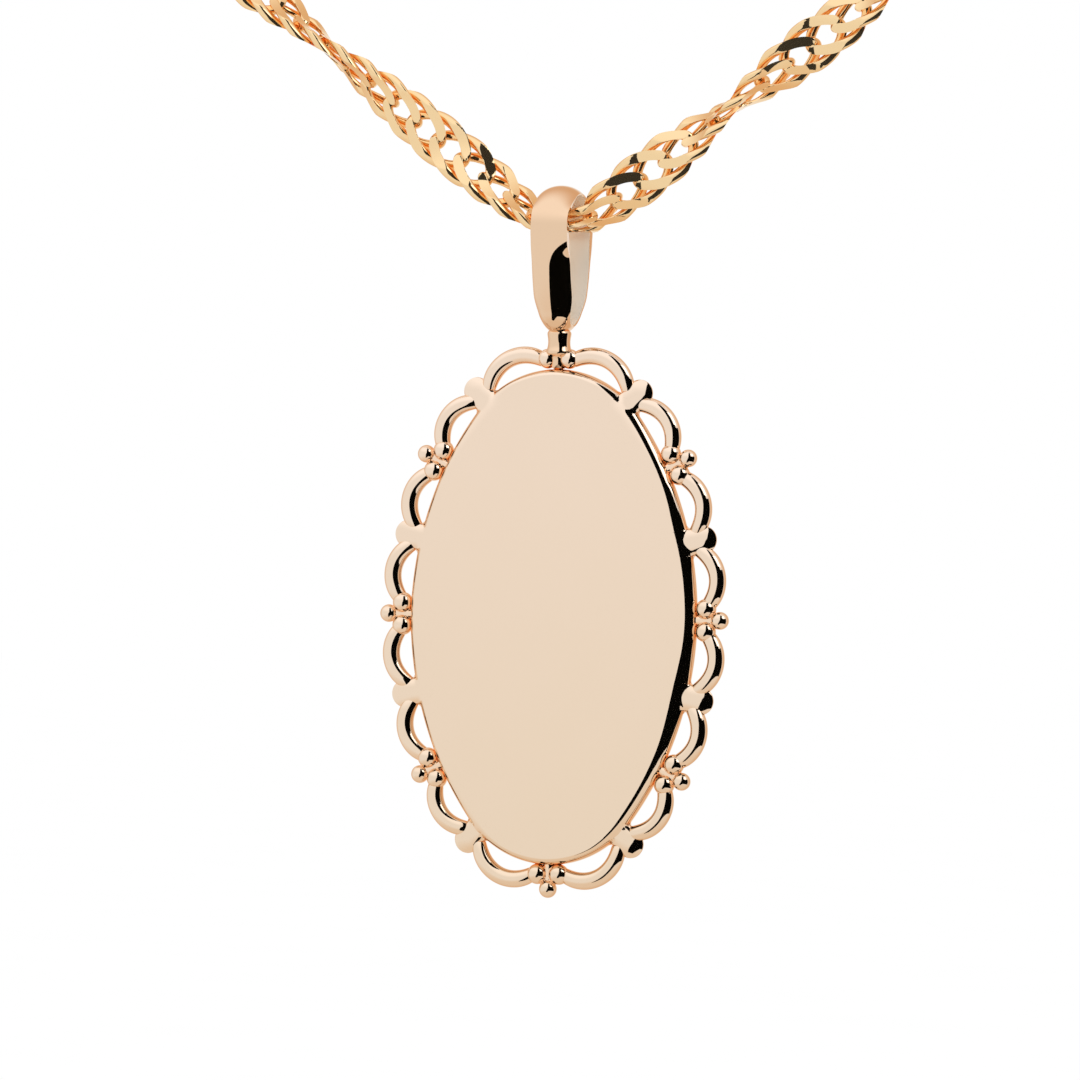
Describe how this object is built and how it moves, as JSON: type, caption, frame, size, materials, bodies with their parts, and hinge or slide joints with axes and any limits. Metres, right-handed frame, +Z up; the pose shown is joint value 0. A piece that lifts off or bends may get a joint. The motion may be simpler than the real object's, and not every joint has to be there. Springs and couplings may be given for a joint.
{
  "type": "locket",
  "caption": "Slim oval locket with a mirror-polished face, a pierced lace border of arches, lobes and beads, an opening rear lid, and a tapered bail on a twisted curb chain.",
  "frame": {"origin": "halfway between the centres of the two end rings that the chain hangs from", "axes": "+Z up, the polished face towards -Y, X from the left strand to the right strand"},
  "size_m": [0.0484, 0.004, 0.0516],
  "materials": {
    "rose_gold": "mirror-polished pale rose gold",
    "yellow_gold": "polished yellow gold",
    "photo_card": "matt blank photo card",
    "photo_window": "clear glossy sheet"
  },
  "bodies": {
    "end_rings": {"left_end_ring": "yellow_gold", "right_end_ring": "yellow_gold"},
    "chain": {"chain_bail_links": "yellow_gold", "chain_left_links": "yellow_gold", "chain_right_links": "yellow_gold"},
    "locket": {"front_case": "rose_gold", "case_knuckle_top": "rose_gold", "case_knuckle_low": "rose_gold", "hinge_pin": "yellow_gold", "case_card": "photo_card", "case_window": "photo_window", "case_rim": "rose_gold", "lace_arch_01": "rose_gold", "lace_arch_02": "rose_gold", "lace_arch_03": "rose_gold", "lace_arch_04": "rose_gold", "lace_arch_05": "rose_gold", "lace_arch_06": "rose_gold", "lace_arch_07": "rose_gold", "lace_arch_08": "rose_gold", "lace_arch_09": "rose_gold", "lace_arch_10": "rose_gold", "lace_arch_11": "rose_gold", "lace_arch_12": "rose_gold", "lace_arch_13": "rose_gold", "lace_arch_14": "rose_gold", "lace_arch_15": "rose_gold", "lace_arch_16": "rose_gold", "bead_cluster_1": "rose_gold", "bead_cluster_2": "rose_gold", "bead_cluster_3": "rose_gold", "bead_cluster_4": "rose_gold", "bead_cluster_5": "rose_gold", "bead_cluster_6": "rose_gold", "bead_cluster_7": "rose_gold", "bead_cluster_8": "rose_gold", "bail_stem": "rose_gold", "bail": "rose_gold"},
    "lid": {"rear_lid": "rose_gold", "lid_knuckle": "rose_gold", "catch_tongue": "rose_gold", "nail_tab": "rose_gold", "lid_card": "photo_card", "lid_window": "photo_window", "lid_rim": "rose_gold"}
  },
  "joints": [
    {"name": "chain_swing", "type": "hinge", "parent": "end_rings", "child": "chain", "pos_m": [0, 0, -0.00219], "axis": [1, 0, 0], "range_deg": [-20, 20]},
    {"name": "pendant_swing", "type": "hinge", "parent": "chain", "child": "locket", "pos_m": [0, 0, -0.01598], "axis": [1, 0, 0], "range_deg": [-60, 60]},
    {"name": "lid_hinge", "type": "hinge", "parent": "locket", "child": "lid", "pos_m": [-0.00695, 0.00108, -0.03556], "axis": [0, 0, 1], "range_deg": [0, 145]}
  ]
}
